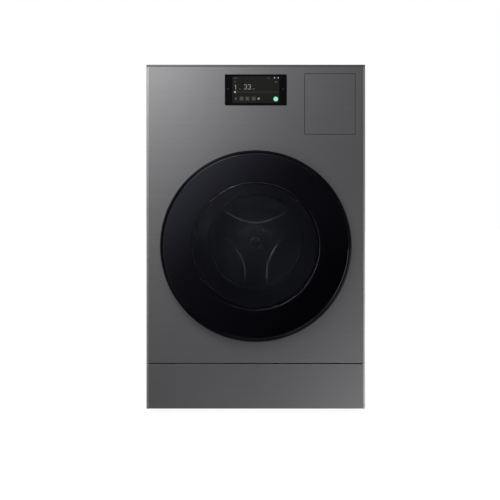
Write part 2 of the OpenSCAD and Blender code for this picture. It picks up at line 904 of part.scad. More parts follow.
module drum_rear_wall() {
  y = drum_end - 2;
  color("silver") translate([0, 0, axis_z]) {
    upright(y - 9, y - 7.5) difference() {
      circle(drum_in);
      lobes(0);
    }
    upright(y - 9, y) difference() {
      lobes(0);
      lobes(1.5);
    }
    upright(y - 1.5, y) lobes(0);
  }
}

module hub_cap() {
  y = drum_end - 11;
  color("silver") turned() polygon([
    [0, y - 9], [14, y - 9], [24, y - 7.5], [30, y - 4.5], [32, y], [0, y]]);
}

module drum_front_ring() {
  y = drum_y;
  r = drum_in;
  color("silver") turned() polygon([
    [220, y - 3], [225, y - 3], [230, y], [drum_r, y], [drum_r, y + 1.5], [r, y + 1.5],
    [r, y + 34], [r - 2, y + 34], [r - 2, y + 2.5], [256, y + 2.5], [256, y + 30],
    [254, y + 30], [254, y + 2.5], [229, y + 2.5], [223, y + 0.5], [222, y + 0.5],
    [222, y + 14], [220, y + 14]]);
}

// A lifter's cross-section on the [x, z] plane, shrunk by its wall where it is hollow
module lifter_outline(wall) {
  polygon([
    [-34 + wall, drum_r + 1], [-30 + wall, drum_r - 12], [-14 + wall, drum_r - 50 + wall],
    [-8, drum_r - 56 + wall], [8, drum_r - 56 + wall], [14 - wall, drum_r - 50 + wall],
    [30 - wall, drum_r - 12], [34 - wall, drum_r + 1]]);
}

module drum_lifters() {
  length = 470;
  color("gainsboro") for (i = [0:lifter_count - 1])
    translate([0, drum_y + 36, axis_z]) rotate([0, 360 / lifter_count * i, 0])
      intersection() {
        rotate([-90, 0, 0]) cylinder(r = drum_in, h = length + 1);
        difference() {
          upright(0, length) lifter_outline(0);
          upright(4, length - 4) lifter_outline(4);
        }
      }
}

module drum_spider() {
  y = drum_end + 1;
  color("darkgray") {
    ring(44, 0, drum_end - 9.4, y + 14);
    ring(shaft_r, 0, y + 13, tub_end + 78);
    translate([0, tub_end + 70.3, axis_z]) rotate([-90, 0, 0]) cylinder(r = 20, h = 8, $fn = 6);
    for (a = arm_angles)
      translate([0, 0, axis_z]) rotate([0, -a, 0]) difference() {
        block([20, y, -24], [drum_r - 16, y + 12, 24]);
        block([50, y + 4, -18], [drum_r - 24, y + 13, 18]);
      }
  }
}

// ---------------------------------------------------------------- suspension and feet

module damper_cylinders() {
  color("#404347") both_sides() difference() {
    bar_z(damper_x, damper_y, 14, foot_gap + 4.3, 205);
    bar_z(damper_x, damper_y, 9.5, 34, 206);
  }
}

module damper_rods() {
  color("silver") both_sides() {
    bar_z(damper_x, damper_y, 5, 80, damper_top - 0.2);
    bar_z(damper_x, damper_y, 9.1, 70, 90);
    bar_z(damper_x, damper_y, 10, damper_top - 8, damper_top - 0.2);
  }
}

// Points of a round wire's coil, ring by ring
function coil_point(r, z, a, wire, b) = [
  (r + wire * cos(b)) * cos(a), (r + wire * cos(b)) * sin(a), z + wire * sin(b)];

module coil(r, wire, h, turns) {
  steps = turns * 14;
  sides = 6;
  points = [for (i = [0:steps], k = [0:sides - 1])
    coil_point(r, h * i / steps, 360 * turns * i / steps, wire, 360 * k / sides)];
  walls = [for (i = [0:steps - 1], k = [0:sides - 1])
    let (n = (k + 1) % sides, j = i * sides)
    [j + k, j + n, j + sides + n, j + sides + k]];
  ends = [
    [for (k = [sides - 1:-1:0]) k],
    [for (k = [0:sides - 1]) steps * sides + k]];
  polyhedron(points, concat(walls, ends));
}

module suspension_springs() {
  z0 = axis_z + 143.5;
  color("silver") both_sides() translate([spring_x, spring_y, z0])
    coil(11, 1.8, brace_z - 2.5 - z0, 16);
}

module foot(i) {
  x = i % 2 == 0 ? -foot_x : foot_x;
  y = foot_y[i < 2 ? 0 : 1];
  color("#202020") translate([x, y, 0]) {
    rotate_extrude() polygon([
      [0, 0], [18, 0], [20, 2], [20, 5], [12, 8.5], [0, 8.5]]);
    cylinder(r = 5, h = 44);
    translate([0, 0, 8]) cylinder(r = 10, h = foot_gap - 6.8, $fn = 6);
  }
}

base_pan();
side_panel_left();
side_panel_right();
rear_panel();
rear_service_cover();
top_cover();
front_panel();
top_brace();
service_panel();
display_glass();
display_housing();
control_board();
drawer_housing();
inlet_valves();
drain_outlet();
power_gland();
door_hinge_bracket();
door_hinge_pin();
door_lock();
damper_cylinders();
suspension_springs();
door_gasket();
heat_pump_case();
heat_exchangers();
compressor();
blower_housing();
air_duct();
drain_pump();
sump_bellows();
lint_filter();
panel_screws();
tub_front();
tub_rear();
counterweights();
motor_stator();
drum_bearings();
damper_rods();
tub_screws();
drum_shell();
drum_rear_wall();
drum_front_ring();
drum_lifters();
drum_spider();
hub_cap();
motor_rotor();
door_ring();
door_glass();
door_bowl();
door_rear_frame();
door_latch_hook();
drawer_front();
drawer_body();
siphon_insert();
lower_flap();
drain_filter_cap();
blower_impeller();
foot(0);  // foot_front_left
foot(1);  // foot_front_right
foot(2);  // foot_rear_left
foot(3);  // foot_rear_right
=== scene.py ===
"""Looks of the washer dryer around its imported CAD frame. Metres, Z up, the front faces -Y."""
import json
import math

import bmesh
import bpy
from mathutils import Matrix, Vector

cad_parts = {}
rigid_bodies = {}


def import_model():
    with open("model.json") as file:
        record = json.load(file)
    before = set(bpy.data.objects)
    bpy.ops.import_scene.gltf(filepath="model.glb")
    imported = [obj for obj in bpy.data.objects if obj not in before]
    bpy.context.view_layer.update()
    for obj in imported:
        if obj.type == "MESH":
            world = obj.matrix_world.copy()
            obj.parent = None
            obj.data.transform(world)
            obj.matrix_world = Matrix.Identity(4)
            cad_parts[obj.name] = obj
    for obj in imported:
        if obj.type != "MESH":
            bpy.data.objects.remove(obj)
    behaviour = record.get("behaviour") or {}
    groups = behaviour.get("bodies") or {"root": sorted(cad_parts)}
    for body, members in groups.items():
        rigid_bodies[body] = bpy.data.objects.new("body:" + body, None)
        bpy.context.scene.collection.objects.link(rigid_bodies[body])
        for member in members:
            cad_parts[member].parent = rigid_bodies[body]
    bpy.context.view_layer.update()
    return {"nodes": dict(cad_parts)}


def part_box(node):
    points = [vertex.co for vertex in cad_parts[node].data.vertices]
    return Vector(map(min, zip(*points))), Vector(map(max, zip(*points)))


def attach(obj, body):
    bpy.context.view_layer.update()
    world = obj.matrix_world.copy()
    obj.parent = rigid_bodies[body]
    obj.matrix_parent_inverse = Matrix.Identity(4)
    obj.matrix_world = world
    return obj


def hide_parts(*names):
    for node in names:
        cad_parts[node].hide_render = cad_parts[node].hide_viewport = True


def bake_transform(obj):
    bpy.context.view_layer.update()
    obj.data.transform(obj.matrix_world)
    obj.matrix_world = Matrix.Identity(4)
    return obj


for old in list(bpy.data.objects):
    bpy.data.objects.remove(old, do_unlink=True)
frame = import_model()
NODES = frame["nodes"]
scene = bpy.context.scene
MM = 0.001

# ------------------------------------------------------------------ places taken from the frame

glass_lo, glass_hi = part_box("door_glass")
ring_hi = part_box("door_ring")[1]
bowl_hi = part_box("door_bowl")[1]
panel_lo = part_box("front_panel")[0]
gasket_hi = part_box("door_gasket")[1]
shell_lo, shell_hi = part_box("drum_shell")
wall_lo, wall_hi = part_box("drum_rear_wall")
cap_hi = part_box("hub_cap")[1]
display_lo, display_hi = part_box("display_glass")
springs_lo, springs_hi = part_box("suspension_springs")
bellows_lo, bellows_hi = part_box("sump_bellows")
AXIS_Z = (shell_lo.z + shell_hi.z) / 2
DOOR_Y = glass_lo.y
FRONT_Y = panel_lo.y
DOOR_R = ring_hi.x
GLASS_R = glass_hi.x
WINDOW_R = bowl_hi.x
DRUM_R = shell_hi.x

# ------------------------------------------------------------------ camera, lights and floor

CAMERA_DISTANCE = 3.2
CAMERA_HEIGHT = 0.5986

camera = bpy.data.objects.new("Camera", bpy.data.cameras.new("Camera"))
scene.collection.objects.link(camera)
camera.location = (0, FRONT_Y - CAMERA_DISTANCE, CAMERA_HEIGHT)
camera.rotation_euler = (math.radians(90), 0, 0)
camera.data.lens = 73.62
camera.data.sensor_width = 36
camera.data.shift_x = -0.0116
camera.data.shift_y = -0.056
scene.camera = camera
scene.view_settings.view_transform = "Standard"


def area_light(name, place, target, size, power):
    data = bpy.data.lights.new(name, "AREA")
    data.shape = "RECTANGLE"
    data.size, data.size_y = size
    data.energy = power
    lamp = bpy.data.objects.new(name, data)
    scene.collection.objects.link(lamp)
    lamp.location = place
    aim = Vector(target) - Vector(place)
    lamp.rotation_euler = aim.to_track_quat("-Z", "Y").to_euler()
    return lamp


area_light("key_light", (-0.75, -2.2, 1.75), (-0.3, FRONT_Y, 1.0), (0.9, 0.9), 14.1)
area_light("top_light", (-0.3, -1.9, 2.2), (-0.1, FRONT_Y, 0.9), (1.2, 0.8), 3.8)
area_light("side_light", (1.2, -1.4, 0.0), (0.3, FRONT_Y, 0.1), (0.9, 0.9), 9.8)
area_light("low_light", (0.6, -2.0, -0.5), (0.3, FRONT_Y, 0.1), (0.6, 0.4), 1.5)
area_light("wide_low_light", (0.2, -2.2, -0.6), (0.2, FRONT_Y, 0.2), (1.2, 0.4), 1.8)

# Dim lamps inside the drum: one for each pressed field of its rear wall, and two across it
FIELD_LIGHT_R, FIELD_TARGET_R = 0.258, 0.02
drum_lights = []
for turn, power in ((90, 0.010), (210, 0.026), (330, 0.026)):
    u, w = math.cos(math.radians(turn)), math.sin(math.radians(turn))
    drum_lights.append(area_light(
        "field_light", (FIELD_LIGHT_R * u, wall_lo.y - 0.20, AXIS_Z + FIELD_LIGHT_R * w),
        (FIELD_TARGET_R * u, wall_lo.y, AXIS_Z + FIELD_TARGET_R * w), (0.10, 0.03), power))
for side in (-1, 1):
    drum_lights.append(area_light(
        "wall_light", (side * 0.18, wall_lo.y - 0.24, AXIS_Z + 0.19),
        (-side * 0.13, wall_lo.y, AXIS_Z - 0.13), (0.05, 0.03), 0.03))
for lamp in drum_lights:
    lamp.data.spread = math.radians(60)
    lamp.visible_camera = False

# Lamps for the sides, the top and the back
area_light("rim_light_left", (-2.6, 0.8, 1.9), (-0.3, 0, 0.6), (1.4, 1.4), 12)
area_light("rim_light_right", (2.6, 1.2, 1.9), (0.3, 0, 0.6), (1.4, 1.4), 10)
area_light("back_light", (0.6, 3.2, 1.8), (0, 0.4, 0.6), (1.8, 1.2), 14)

world = bpy.data.worlds.new("studio")
scene.world = world
world.use_nodes = True
world.node_tree.nodes["Background"].inputs["Color"].default_value = (1, 1, 1, 1)
world.node_tree.nodes["Background"].inputs["Strength"].default_value = 1.0


# ------------------------------------------------------------------ materials

# Most of a noise texture's values lie between these two
NOISE_LOW, NOISE_HIGH = 0.3, 0.7


class Shader:
    """A material with one Principled BSDF and short ways to add nodes to it."""

    def __init__(self, name):
        self.material = bpy.data.materials.new(name)
        self.material.use_nodes = True
        self.tree = self.material.node_tree
        self.bsdf = self.tree.nodes["Principled BSDF"]
        self.place = self.add("ShaderNodeTexCoord").outputs["Object"]

    def add(self, kind, **settings):
        node = self.tree.nodes.new(kind)
        for key, value in settings.items():
            setattr(node, key, value)
        return node

    def link(self, source, node, socket):
        self.tree.links.new(source, node.inputs[socket])

    def set(self, **values):
        for key, value in values.items():
            self.bsdf.inputs[key.replace("_", " ")].default_value = value

    def stretched(self, scale):
        node = self.add("ShaderNodeMapping")
        self.link(self.place, node, "Vector")
        node.inputs["Scale"].default_value = scale
        return node.outputs["Vector"]

    def noise(self, scale, detail=3.0, vector=None, rough=0.55):
        node = self.add("ShaderNodeTexNoise")
        self.link(vector or self.place, node, "Vector")
        node.inputs["Scale"].default_value = scale
        node.inputs["Detail"].default_value = detail
        node.inputs["Roughness"].default_value = rough
        return node.outputs["Fac"]

    def spread(self, source, low, high):
        node = self.add("ShaderNodeMapRange")
        self.link(source, node, "Value")
        node.inputs["From Min"].default_value = NOISE_LOW
        node.inputs["From Max"].default_value = NOISE_HIGH
        node.inputs["To Min"].default_value = low
        node.inputs["To Max"].default_value = high
        return node.outputs["Result"]

    def tint(self, source, dark, light):
        ramp = self.add("ShaderNodeValToRGB")
        self.link(source, ramp, "Fac")
        ramp.color_ramp.elements[0].position = NOISE_LOW
        ramp.color_ramp.elements[1].position = NOISE_HIGH
        ramp.color_ramp.elements[0].color = (*dark, 1)
        ramp.color_ramp.elements[1].color = (*light, 1)
        self.link(ramp.outputs["Color"], self.bsdf, "Base Color")

    def bump(self, source, depth, strength=1.0):
        node = self.add("ShaderNodeBump")
        self.link(source, node, "Height")
        node.inputs["Distance"].default_value = depth
        node.inputs["Strength"].default_value = strength
        self.link(node.outputs["Normal"], self.bsdf, "Normal")


def shades(colour, amount):
    return ([c * (1 - amount) for c in colour], [c * (1 + amount) for c in colour])


def grained(name, colour, rough, metallic=0.0, amount=0.08, patch=9.0, grain=1400.0,
            depth=0.00002, rough_by=0.04, **settings):
    """Moulded, painted or cast material: slow colour patches, uneven gloss, a fine grain."""
    s = Shader(name)
    s.tint(s.noise(patch, 4), *shades(colour, amount))
    gloss = s.spread(s.noise(patch * 3, 3), rough - rough_by, rough + rough_by)
    s.link(gloss, s.bsdf, "Roughness")
    s.bump(s.noise(grain, 2), depth)
    s.set(Metallic=metallic, **settings)
    return s.material


def brushed(name, colour, rough, along=(5, 5, 1100), amount=0.05, depth=0.000006, aniso=0.4,
            metallic=1.0, **settings):
    """Rolled steel with fine brush lines; along is the scale on each axis, small along them."""
    s = Shader(name)
    lines = s.noise(1.0, 5, s.stretched(along), 0.7)
    broad = s.noise(1.0, 3, s.stretched([a * 0.11 for a in along]))
    both = s.add("ShaderNodeMath", operation="ADD")
    s.tree.links.new(lines, both.inputs[0])
    s.tree.links.new(broad, both.inputs[1])
    half = s.add("ShaderNodeMath", operation="MULTIPLY")
    s.tree.links.new(both.outputs[0], half.inputs[0])
    half.inputs[1].default_value = 0.5
    s.tint(half.outputs[0], *shades(colour, amount))
    s.link(s.spread(lines, rough - 0.05, rough + 0.05), s.bsdf, "Roughness")
    s.bump(lines, depth)
    tangent = s.add("ShaderNodeTangent", direction_type="RADIAL", axis="Z")
    s.link(tangent.outputs["Tangent"], s.bsdf, "Tangent")
    s.set(Metallic=metallic, Anisotropic=aniso, Anisotropic_Rotation=0.25, **settings)
    return s.material


def spangled():
    """Galvanised sheet: crystal facets of slightly different brightness."""
    s = Shader("rear_metal_look")
    cells = s.add("ShaderNodeTexVoronoi")
    s.link(s.place, cells, "Vector")
    cells.inputs["Scale"].default_value = 170
    grey = s.add("ShaderNodeSeparateColor")
    s.link(cells.outputs["Color"], grey, "Color")
    s.tint(grey.outputs["Red"], (0.39, 0.40, 0.41), (0.46, 0.465, 0.475))
    s.link(s.spread(grey.outputs["Green"], 0.36, 0.46), s.bsdf, "Roughness")
    s.bump(s.noise(800, 2), 0.00001)
    s.set(Metallic=1.0)
    return s.material


def wound():
    """Enamelled copper wire laid side by side."""
    s = Shader("copper_look")
    wire = s.add("ShaderNodeTexWave", wave_type="RINGS", rings_direction="Y")
    s.link(s.place, wire, "Vector")
    wire.inputs["Scale"].default_value = 320
    wire.inputs["Distortion"].default_value = 0.4
    s.tint(wire.outputs["Fac"], (0.33, 0.11, 0.045), (0.72, 0.30, 0.13))
    s.link(s.spread(s.noise(40), 0.28, 0.4), s.bsdf, "Roughness")
    s.bump(wire.outputs["Fac"], 0.0003)
    s.set(Metallic=1.0)
    return s.material


def poured():
    """Cast concrete: sand, pores and slow cloudy patches."""
    s = Shader("concrete_look")
    s.tint(s.noise(26, 8, rough=0.7), (0.27, 0.262, 0.25), (0.47, 0.455, 0.43))
    s.link(s.spread(s.noise(60), 0.8, 0.95), s.bsdf, "Roughness")
    s.bump(s.noise(260, 6, rough=0.7), 0.0006)
    return s.material


def circuit():
    """Solder mask with tracks showing through."""
    s = Shader("board_look")
    tracks = s.add("ShaderNodeTexBrick")
    s.link(s.stretched((1, 1, 1)), tracks, "Vector")
    tracks.inputs["Scale"].default_value = 90
    tracks.inputs["Mortar Size"].default_value = 0.03
    tracks.inputs["Color1"].default_value = (0.012, 0.11, 0.04, 1)
    tracks.inputs["Color2"].default_value = (0.016, 0.14, 0.05, 1)
    tracks.inputs["Mortar"].default_value = (0.05, 0.26, 0.12, 1)
    s.link(tracks.outputs["Color"], s.bsdf, "Base Color")
    s.link(s.spread(s.noise(30), 0.25, 0.4), s.bsdf, "Roughness")
    s.bump(tracks.outputs["Fac"], 0.00004)
    return s.material


def film(name, colour, rough, alpha=1.0, **settings):
    """Tinted or black glass with a barely wavy surface."""
    s = Shader(name)
    s.tint(s.noise(6, 2), *shades(colour, 0.15))
    s.link(s.spread(s.noise(25), rough * 0.7, rough * 1.3), s.bsdf, "Roughness")
    s.bump(s.noise(7, 1), 0.00002)
    s.set(Alpha=alpha, **settings)
    return s.material


def lit(name, colour, strength, base=(0.01, 0.01, 0.01)):
    """Part of the lit screen: its own light is uneven by a few per cent, as a backlight is."""
    s = Shader(name)
    s.tint(s.noise(30, 2), *shades(base, 0.1))
    glow = s.add("ShaderNodeValToRGB")
    s.link(s.noise(18, 2), glow, "Fac")
    glow.color_ramp.elements[0].color = (*[c * 0.9 for c in colour], 1)
    glow.color_ramp.elements[1].color = (*colour, 1)
    s.link(glow.outputs["Color"], s.bsdf, "Emission Color")
    s.link(s.spread(s.noise(60), 0.08, 0.12), s.bsdf, "Roughness")
    s.set(Emission_Strength=strength, Specular_IOR_Level=0.12)
    return s.material


LOOKS = {
    "front_metal": brushed("front_metal_look", (0.189, 0.189, 0.1945), 0.40),
    "side_metal": brushed("side_metal_look", (0.33, 0.33, 0.33), 0.42, amount=0.03, aniso=0.3),
    "top_metal": brushed("top_metal_look", (0.12, 0.12, 0.12), 0.44, amount=0.03, aniso=0.3),
    "rear_metal": spangled(),
    "tinted_glass": film("tinted_glass_look", (0.0015, 0.0015, 0.0018), 0.04,
                         Specular_IOR_Level=0.05),
    "bowl_glass": film("bowl_glass_look", (0.72, 0.75, 0.77), 0.012, Transmission_Weight=1.0,
                       IOR=1.47),
    "gloss_black": grained("gloss_black_look", (0.0015, 0.0015, 0.002), 0.16, depth=0.000004,
                           Specular_IOR_Level=0.07),
    "black_plastic": grained("black_plastic_look", (0.016, 0.016, 0.018), 0.46, depth=0.00004),
    "white_plastic": grained("white_plastic_look", (0.72, 0.72, 0.705), 0.34, amount=0.02),
    "tub_plastic": grained("tub_plastic_look", (0.5, 0.51, 0.515), 0.5, amount=0.05, patch=30,
                           grain=700, depth=0.00006),
    "rubber": grained("rubber_look", (0.035, 0.035, 0.038), 0.62, amount=0.12, grain=900,
                      depth=0.00005),
    "drum_steel": brushed("drum_steel_look", (0.62, 0.62, 0.64), 0.36, along=(7, 900, 7),
                          amount=0.05, aniso=0.0),
    "hub_chrome": grained("hub_chrome_look", (0.30, 0.30, 0.315), 0.44, metallic=1.0, amount=0.04,
                          depth=0.000004),
    "lifter_plastic": grained("lifter_plastic_look", (0.42, 0.43, 0.44), 0.42, depth=0.00004),
    "cast_aluminium": grained("cast_aluminium_look", (0.56, 0.565, 0.575), 0.5, metallic=1.0,
                              grain=500, depth=0.00012),
    "plain_steel": grained("plain_steel_look", (0.5, 0.5, 0.51), 0.34, metallic=1.0, patch=40,
                           depth=0.00001),
    "concrete": poured(),
    "copper": wound(),
    "rotor_paint": grained("rotor_paint_look", (0.025, 0.025, 0.028), 0.36, grain=600,
                           depth=0.00006),
    "grey_plastic": grained("grey_plastic_look", (0.11, 0.113, 0.118), 0.46, depth=0.00004),
    "blue_plastic": grained("blue_plastic_look", (0.07, 0.19, 0.38), 0.38, depth=0.00003),
    "board_green": circuit(),
}

# Edge rounding of the CAD nodes that stay, in millimetres
ROUNDED = {
    "front_panel": 0.3, "side_panel_left": 0.25, "side_panel_right": 0.25, "top_cover": 0.6,
    "lower_flap": 0.7, "drawer_front": 0.25, "display_glass": 0.3, "service_panel": 0.6,
    "drawer_body": 0.8, "door_rear_frame": 0.8, "drum_lifters": 3.0,
    "lint_filter": 0.8, "door_lock": 0.8, "air_duct": 1.2,
    "siphon_insert": 0.6, "rear_panel": 0.5, "rear_service_cover": 0.8, "base_pan": 0.7,
    "display_housing": 0.6, "drawer_housing": 0.8, "door_hinge_bracket": 0.6,
    "door_latch_hook": 0.5, "counterweights": 2.5, "control_board": 0.2, "top_brace": 0.4,
}

# The drawer's housing shows through the gap round the drawer's front; it is given black plastic as
# painted shade, so that the gap reads dark
SHADE_PAINTED_LOOKS = {"drawer_housing": "black_plastic"}

WELD_DISTANCE = 0.02 * MM
SHARP_EDGE = math.radians(38)
FLAT_WITHIN = math.radians(0.2)

for name, node in NODES.items():
    for i, old in enumerate(node.data.materials):
        node.data.materials[i] = LOOKS[SHADE_PAINTED_LOOKS.get(name, old.name.split(".")[0])]
    weld = node.modifiers.new("weld", "WELD")
    weld.merge_threshold = WELD_DISTANCE
    if name in ROUNDED:
        flat = node.modifiers.new("flat", "DECIMATE")
        flat.decimate_type = "DISSOLVE"
        flat.angle_limit = FLAT_WITHIN
        bevel = node.modifiers.new("bevel", "BEVEL")
        bevel.width = ROUNDED[name] * MM
        bevel.segments = 2
        bevel.limit_method = "ANGLE"
        bevel.angle_limit = SHARP_EDGE
        node.modifiers.new("normals", "WEIGHTED_NORMAL")


# ------------------------------------------------------------------ mesh helpers


def outward_mesh(name, vertices, faces):
    """A mesh whose faces all point outwards."""
    mesh = bpy.data.meshes.new(name)
    mesh.from_pydata(vertices, [], faces)
    work = bmesh.new()
    work.from_mesh(mesh)
    bmesh.ops.recalc_face_normals(work, faces=work.faces)
    work.to_mesh(mesh)
    work.free()
    return mesh


def mesh_piece(name, vertices, faces, look, body, replaced=(), slot=None, sharp=SHARP_EDGE):
    """A smooth-shaded piece; look is a material, or the name of one in LOOKS."""
    mesh = outward_mesh(name, vertices, faces)
    for p in mesh.polygons:
        p.use_smooth = True
    mesh.set_sharp_from_angle(angle=sharp)
    piece = bpy.data.objects.new(name, mesh)
    scene.collection.objects.link(piece)
    mesh.materials.append(look if not isinstance(look, str) else LOOKS[look])
    if body:
        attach(piece, body)
    if replaced:
        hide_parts(*replaced)
    if slot or isinstance(look, str):
        slot or look
    return piece


def arc(r0, y0, size_r, size_y, start, end, steps):
    """Points of an ellipse's arc on the [radius, y] plane, angles in degrees."""
    return [(r0 + size_r * math.cos(math.radians(start + (end - start) * i / steps)),
             y0 + size_y * math.sin(math.radians(start + (end - start) * i / steps)))
            for i in range(steps + 1)]


def turned(profile, steps, point, closed):
    """Vertices and faces of rings. Each profile entry starts with its ring's radius, and
    point(entry, cosine, sine) gives a vertex of that ring; a radius of 0 gives one vertex."""
    vertices, faces, rows = [], [], []
    for entry in profile:
        row = []
        for k in range(steps if entry[0] > 1e-7 else 1):
            a = 2 * math.pi * k / steps
            row.append(len(vertices))
            vertices.append(point(entry, math.cos(a), math.sin(a)))
        rows.append(row)
    count = len(rows)
    for i in range(count if closed else count - 1):
        a, b = rows[i], rows[(i + 1) % count]
        if len(a) == 1 and len(b) == 1:
            continue
        for k in range(steps):
            n = (k + 1) % steps
            quad = [a[k % len(a)], a[n % len(a)], b[n % len(b)], b[k % len(b)]]
            faces.append([v for j, v in enumerate(quad) if v != quad[j - 1]])
    return vertices, faces


def lathe_mesh(profile, steps=192, closed=True, axis="Y", centre=(0.0, 0.0)):
    """Vertices and faces of a profile [radius, place on the axis] turned about an axis."""
    def point(entry, cosine, sine):
        r, h = entry
        u, w = centre[0] + r * cosine, centre[1] + r * sine
        return (u, h, w) if axis == "Y" else (u, w, h)

    return turned(profile, steps, point, closed)


def rounded_corners(points, times=2):
    """Cuts the corners of a closed outline, so that it turns smoothly."""
    for _ in range(times):
        cut = []
        for i, p in enumerate(points):
            q = points[(i + 1) % len(points)]
            cut.append((p[0] * 0.75 + q[0] * 0.25, p[1] * 0.75 + q[1] * 0.25))
            cut.append((p[0] * 0.25 + q[0] * 0.75, p[1] * 0.25 + q[1] * 0.75))
        points = cut
    return points


# ------------------------------------------------------------------ door

CENTRE = (0.0, AXIS_Z)


def door_ring():
    """The door's black ring with a rolled edge, cut out where the two hinge arms swing."""
    r, y = DOOR_R, DOOR_Y
    profile = [(r - 19 * MM, y + 4.3 * MM), (r - 9.6 * MM, y + 4.3 * MM),
               (r - 9.6 * MM, y + 1.6 * MM), (r - 9.3 * MM, y + 0.9 * MM),
               (r - 8.6 * MM, y + 0.55 * MM)]
    profile += arc(r - 6.6 * MM, y + 7.4 * MM, 6.6 * MM, 7.0 * MM, -90, 0, 12)
    profile += [(r, y + 21.6 * MM), (r - 0.6 * MM, y + 23 * MM), (r - 9 * MM, y + 28.3 * MM),
                (r - 9 * MM, y + 7.5 * MM), (r - 19 * MM, y + 7.5 * MM)]
    vertices, faces = lathe_mesh(profile, 256, centre=CENTRE)
    ring = mesh_piece("door_ring_rounded", vertices, faces, "gloss_black", None,
                      ["door_ring"])
    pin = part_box("door_hinge_pin")
    hx, hy = (pin[0].x + pin[1].x) / 2, (pin[0].y + pin[1].y) / 2
    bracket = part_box("door_hinge_bracket")
    rise = (bracket[1].z - bracket[0].z) / 2 - 10 * MM
    half_slot = 9 * MM
    outline = [(-70, -6.5), (-4, -8.5), (4, -8.5), (9, 0), (45, 65), (0, 85), (-45, 72), (-75, 0)]
    for side in (-1, 1):
        z = AXIS_Z + side * rise
        corners = [(hx + a * MM, hy + b * MM, z + c * half_slot)
                   for c in (-1, 1) for a, b in outline]
        n = len(outline)
        walls = [[i, (i + 1) % n, n + (i + 1) % n, n + i] for i in range(n)]
        ends = [list(range(n))[::-1], list(range(n, 2 * n))]
        cutter = bpy.data.objects.new("slot", outward_mesh("slot", corners, ends + walls))
        scene.collection.objects.link(cutter)
        cut = ring.modifiers.new("slot", "BOOLEAN")
        cut.operation, cut.object, cut.solver = "DIFFERENCE", cutter, "EXACT"
        bpy.context.view_layer.update()
        shape = bpy.data.meshes.new_from_object(
            ring.evaluated_get(bpy.context.evaluated_depsgraph_get()))
        ring.modifiers.clear()
        ring.data = shape
        bpy.data.objects.remove(cutter, do_unlink=True)
    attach(ring, "door")


def door_glass():
    """The door's outer glass: a black printed surround and the tinted window in it."""
    y = DOOR_Y
    back = glass_hi.y
    edge = WINDOW_R
    coating = {"Specular_IOR_Level": 0.64, "Specular_Tint": (0.78, 0.80, 1.0, 1)}
    surround = [(edge + 0.1 * MM, back), (edge + 0.1 * MM, y + 0.7 * MM)]
    surround += [(edge + 0.7 * MM, y + 0.5 * MM), (edge + 2 * MM, y + 0.5 * MM),
                 (GLASS_R - 4 * MM, y + 0.5 * MM), (GLASS_R - 2.4 * MM, y + 0.5 * MM)]
    surround += arc(GLASS_R - 1.6 * MM, y + 2.1 * MM, 1.6 * MM, 1.6 * MM, -90, 0, 5)
    surround += [(GLASS_R, back)]
    vertices, faces = lathe_mesh(surround, 256, centre=CENTRE)
    mesh_piece("door_glass_surround", vertices, faces,
               film("surround_look", (0.0006, 0.0006, 0.0011), 0.03, **coating),
               "door", ["door_glass"], "tinted_glass")
    window = [(0, back), (edge - 0.1 * MM, back), (edge - 0.1 * MM, y + 1.2 * MM)]
    window += arc(edge - 2.9 * MM, y + 1.1 * MM, 2.8 * MM, 1.1 * MM, 0, -90, 8)
    window += [(edge - 3.6 * MM, y), (edge - 6 * MM, y), (0, y)]
    vertices, faces = lathe_mesh(window, 192, closed=False, centre=CENTRE)
    mesh_piece("door_window", vertices, faces,
               film("window_look", (0.0008, 0.0008, 0.0014), 0.02, 0.55, **coating),
               "door", ["door_glass"], "tinted_glass")


def door_bowl():
    """The glass bowl: its rings shrink and rise from the window to the flat end."""
    rim_r = WINDOW_R - 0.4 * MM
    rim_y = DOOR_Y + 9 * MM
    start_y = panel_lo.y - 4 * MM - 2.4 * MM
    rise = 16 * MM
    end_r = 155 * MM
    end_corner = 16 * MM
    wall = 4.5 * MM

    def half(inset):
        """Rows [radius, y, rise] of the outer side, or of the inner side at this inset."""
        rows = [(rim_r - inset, rim_y, 0.0), (rim_r - inset, start_y, 0.0)]
        corner = end_corner - inset
        y_end = bowl_hi.y - inset
        wall_end = y_end - corner
        for i in range(1, 13):
            t = i / 12
            rows.append(((rim_r - inset) * (1 - t) + (end_r - inset) * t,
                         start_y * (1 - t) + wall_end * t, rise * t))
        for i in range(1, 9):
            a = math.radians(90 * i / 8)
            rows.append((end_r - inset - corner * (1 - math.cos(a)),
                         wall_end + corner * math.sin(a), rise))
        rows.append((0.0, y_end, rise))
        return rows

    def point(entry, cosine, sine):
        r, y, up = entry
        return (r * cosine, y, AXIS_Z + up + r * sine)

    vertices, faces = turned(half(0.0) + half(wall)[::-1], 160, point, closed=True)
    mesh_piece("door_bowl_glass", vertices, faces, "bowl_glass", "door", ["door_bowl"])


door_ring()
door_glass()
door_bowl()

# ------------------------------------------------------------------ drum

DRUM_SHEET = 0.8 * MM


def as_sheet(piece):
    """Gives a surface the thickness of the drum's sheet."""
    sheet = piece.modifiers.new("sheet", "SOLIDIFY")
    sheet.thickness = DRUM_SHEET
    sheet.offset = 0


